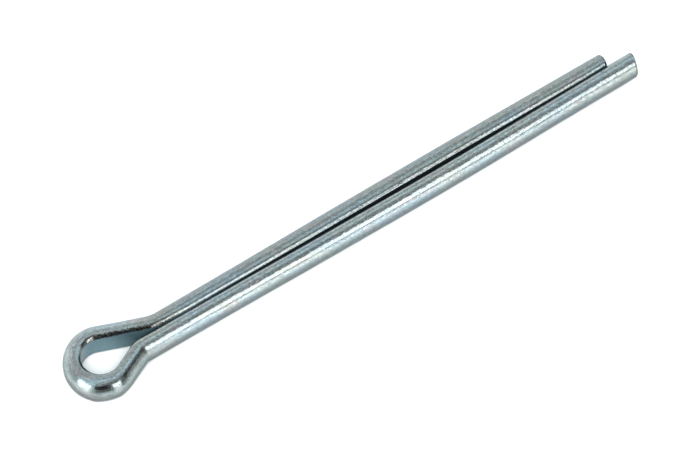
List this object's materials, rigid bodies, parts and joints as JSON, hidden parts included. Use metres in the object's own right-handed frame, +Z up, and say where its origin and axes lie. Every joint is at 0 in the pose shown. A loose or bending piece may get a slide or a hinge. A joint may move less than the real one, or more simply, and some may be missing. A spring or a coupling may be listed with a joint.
{
  "type": "cotter pin",
  "caption": "Zinc-plated split pin folded from D-section wire, with a teardrop eye and one leg longer than the other.",
  "frame": {"origin": "on the shank's axis at the neck, where the short leg starts to bend into the eye", "axes": "+X along the shank toward the tips, +Z up with the eye's plane level, long leg on the -Y side"},
  "size_m": [0.0998, 0.0116, 0.0056],
  "materials": {
    "zinc_plate": "bright zinc plate on drawn steel wire, blue passivated"
  },
  "bodies": {
    "root": {"cotter_pin": "zinc_plate"}
  },
  "joints": []
}
